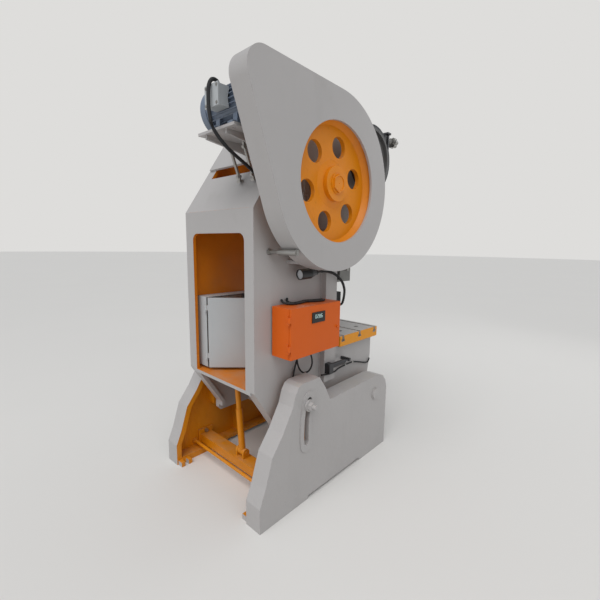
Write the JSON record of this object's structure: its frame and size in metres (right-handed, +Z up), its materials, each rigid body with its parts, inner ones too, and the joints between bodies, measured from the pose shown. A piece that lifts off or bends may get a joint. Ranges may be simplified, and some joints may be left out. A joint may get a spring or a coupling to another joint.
{
  "type": "mechanical stamping press",
  "caption": "Open-back inclinable crank press: tilting C-shaped body between two cast legs, guarded flywheel, back gear, crank and slide, slotted table, belt motor and control box.",
  "frame": {"origin": "centre of the base between the two legs, in the floor plane, midway front to back along the legs", "axes": "+X towards the gear side, along the crankshaft; +Y to the back; +Z up; the operator stands at -Y"},
  "size_m": [1.147, 1.7194, 2.6483],
  "materials": {
    "grey_paint": "satin machine enamel, light warm grey",
    "yellow_paint": "satin enamel, golden yellow",
    "wheel_orange": "gloss enamel, orange yellow",
    "box_orange": "fine texture powder coat, orange red",
    "motor_blue": "satin enamel, blue grey",
    "cabinet_grey": "fine texture powder coat, light grey",
    "black_paint": "satin black",
    "steel": "machined, lightly oiled",
    "dark_steel": "dark, oiled",
    "cast_iron": "machined casting",
    "bronze": "machined bronze",
    "rubber": "matt black rubber",
    "display": "dark display window",
    "device_plastic": "light grey plastic",
    "lens_glass": "clear lamp lens"
  },
  "bodies": {
    "base": {"leg_left": "grey_paint", "leg_right": "grey_paint", "tie_beam": "yellow_paint", "tie_beam_bolts": "steel", "tie_rods": "yellow_paint", "pivot_pins": "steel"},
    "press_body": {"c_frame": "grey_paint", "lock_bolts": "steel", "bolster": "yellow_paint", "frame_bolts": "dark_steel", "gibs": "cast_iron", "knockout_stops": "steel", "crank_caps": "grey_paint", "crank_bushes": "bronze", "shaft_housings": "grey_paint", "shaft_bearings": "bronze", "brake_band": "dark_steel", "brake_bolt": "steel", "brake_bracket": "dark_steel", "gear_cover": "grey_paint", "belt_guard": "grey_paint", "v_belts": "rubber", "motor_plate": "grey_paint", "studs": "steel", "motor_body": "motor_blue", "fan_cover": "motor_blue", "terminal_box": "cabinet_grey", "control_box": "box_orange", "cabinet": "cabinet_grey", "switchgear": "device_plastic", "lamp_arm": "black_paint", "trip_cylinder": "dark_steel", "wiring": "rubber", "loop_cable": "rubber", "drop_cable": "rubber"},
    "drive": {"drive_shaft": "steel", "flywheel": "wheel_orange", "wheel_nut": "steel", "pinion": "steel"},
    "rotor": {"motor_shaft": "steel", "motor_pulley": "cast_iron"},
    "gear": {"bull_gear": "cast_iron"},
    "crank": {"crankshaft": "steel", "brake_drum": "cast_iron", "clutch_hub": "steel"},
    "pitman": {"connecting_rod": "cast_iron", "rod_cap": "cast_iron", "rod_bolts": "steel", "ball_screw": "steel"},
    "ram": {"slide": "cast_iron", "ball_seat": "bronze", "shank_clamp": "steel"},
    "knockout": {"knockout_bar": "steel"},
    "box_door": {"control_door": "box_orange", "display": "display"},
    "cabinet_leaf": {"cabinet_door": "cabinet_grey"},
    "lamp": {"lamp_head": "black_paint", "lamp_lens": "lens_glass"},
    "strut_lower": {"strut_tube": "yellow_paint"},
    "strut_upper": {"strut_screw": "yellow_paint"}
  },
  "joints": [
    {"name": "frame_tilt", "type": "hinge", "parent": "base", "child": "press_body", "pos_m": [0, -0.475, 0.46], "axis": [-1, 0, 0], "range_deg": [0, 10]},
    {"name": "wheel_spin", "type": "hinge", "parent": "press_body", "child": "drive", "pos_m": [0, 0.107, 1.888], "axis": [1, 0, 0], "continuous": true},
    {"name": "rotor_spin", "type": "hinge", "parent": "press_body", "child": "rotor", "pos_m": [0, 0.576, 2.222], "axis": [1, 0, 0], "continuous": true},
    {"name": "gear_spin", "type": "hinge", "parent": "press_body", "child": "gear", "pos_m": [0, -0.435, 2.13348], "axis": [1, 0, 0], "continuous": true},
    {"name": "crank_turn", "type": "hinge", "parent": "press_body", "child": "crank", "pos_m": [0, -0.435, 2.13348], "axis": [1, 0, 0], "range_deg": [0, 180]},
    {"name": "pitman_swing", "type": "hinge", "parent": "crank", "child": "pitman", "pos_m": [0, -0.435, 2.18348], "axis": [1, 0, 0], "range_deg": [-180, 0]},
    {"name": "ram_travel", "type": "slide", "parent": "press_body", "child": "ram", "axis": [0, 0, -1], "range_m": [0, 0.1001]},
    {"name": "knockout_lift", "type": "slide", "parent": "ram", "child": "knockout", "axis": [0, 0, 1], "range_m": [0, 0.03]},
    {"name": "box_door_hinge", "type": "hinge", "parent": "press_body", "child": "box_door", "pos_m": [-0.492, 0.431, 1.06], "axis": [0, 0, -1], "range_deg": [0, 110]},
    {"name": "cabinet_door_hinge", "type": "hinge", "parent": "press_body", "child": "cabinet_leaf", "pos_m": [0.188, 0.508, 0.97], "axis": [0, 0, -1], "range_deg": [-45, 45]},
    {"name": "lamp_nod", "type": "hinge", "parent": "press_body", "child": "lamp", "pos_m": [-0.418, 0.122, 1.385], "axis": [1, 0, 0], "range_deg": [-20, 4]},
    {"name": "strut_foot", "type": "hinge", "parent": "base", "child": "strut_lower", "pos_m": [0.008, 0.367, 0.15], "axis": [-1, 0, 0], "range_deg": [0, 5.5]},
    {"name": "strut_head", "type": "hinge", "parent": "press_body", "child": "strut_upper", "pos_m": [0.008, 0.405, 0.655], "axis": [-1, 0, 0], "range_deg": [-5.5, 0]}
  ],
  "couplings": [
    {"joint": "rotor_spin", "follows": "wheel_spin", "ratio": 8.0545},
    {"joint": "gear_spin", "follows": "wheel_spin", "ratio": -0.25},
    {"joint": "pitman_swing", "follows": "crank_turn", "ratio": -1},
    {"joint": "ram_travel", "follows": "crank_turn", "m_per_rad": 0.031831},
    {"joint": "strut_foot", "follows": "frame_tilt", "ratio": 0.5207},
    {"joint": "strut_head", "follows": "frame_tilt", "ratio": -0.4793}
  ]
}
